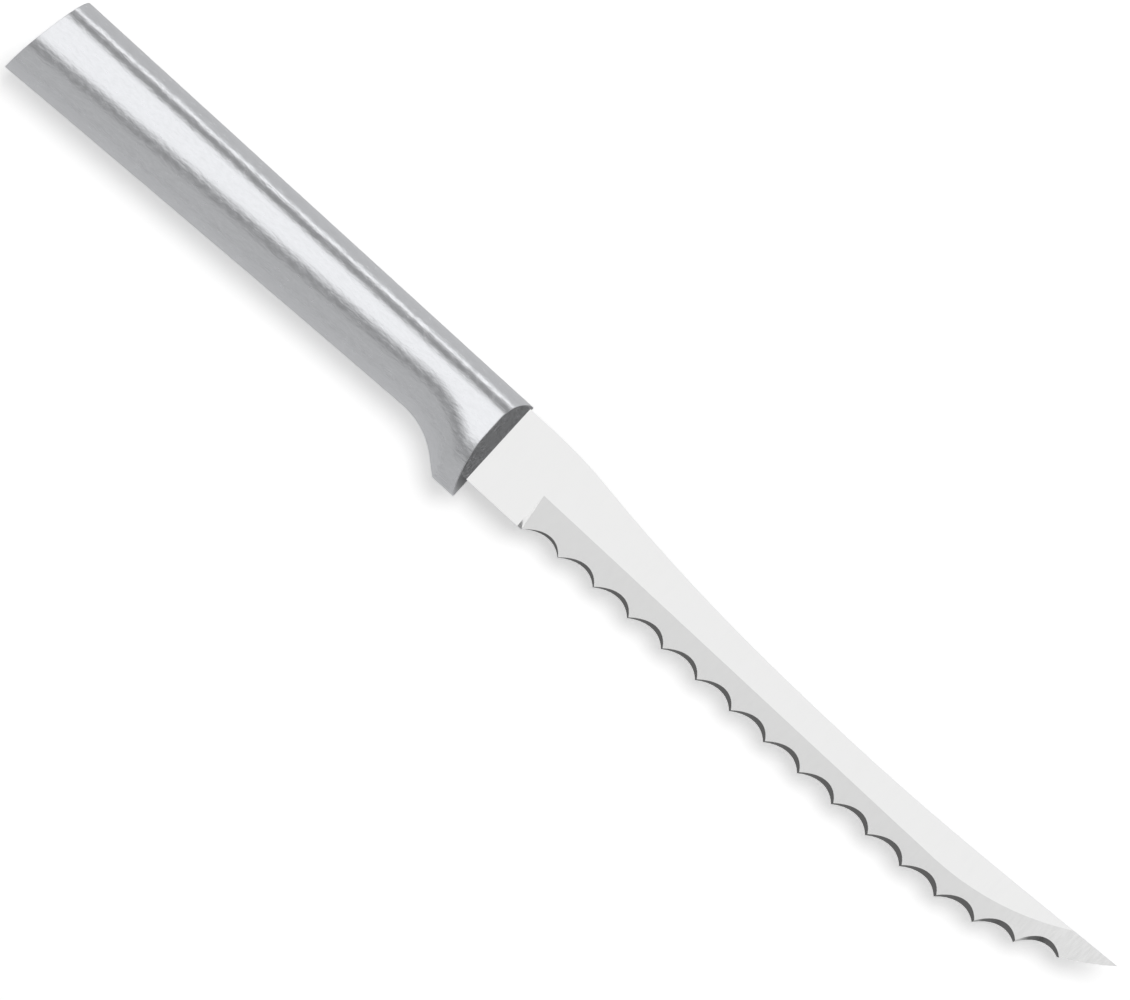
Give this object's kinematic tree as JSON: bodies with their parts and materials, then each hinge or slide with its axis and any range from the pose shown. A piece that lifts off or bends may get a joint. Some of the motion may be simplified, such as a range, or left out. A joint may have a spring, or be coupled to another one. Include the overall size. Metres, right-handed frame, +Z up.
{
  "type": "tomato knife",
  "caption": "Slim serrated tomato knife with a concave spine, a one-sided bevel, an upswept point and a solid cast metal handle with a finger guard, lying on its side.",
  "frame": {"origin": "on the surface the knife rests on, under the middle of its bounding box", "axes": "+X from the butt of the handle to the tip of the blade; +Y towards the spine, the teeth point to -Y; +Z up, out of the blade's bevelled side"},
  "size_m": [0.2252, 0.0188, 0.0124],
  "materials": {
    "blade_steel": "fine polished stainless steel, ground bevel",
    "handle_aluminium": "satin brushed cast aluminium"
  },
  "bodies": {
    "root": {"blade": "blade_steel", "handle": "handle_aluminium"}
  },
  "joints": []
}
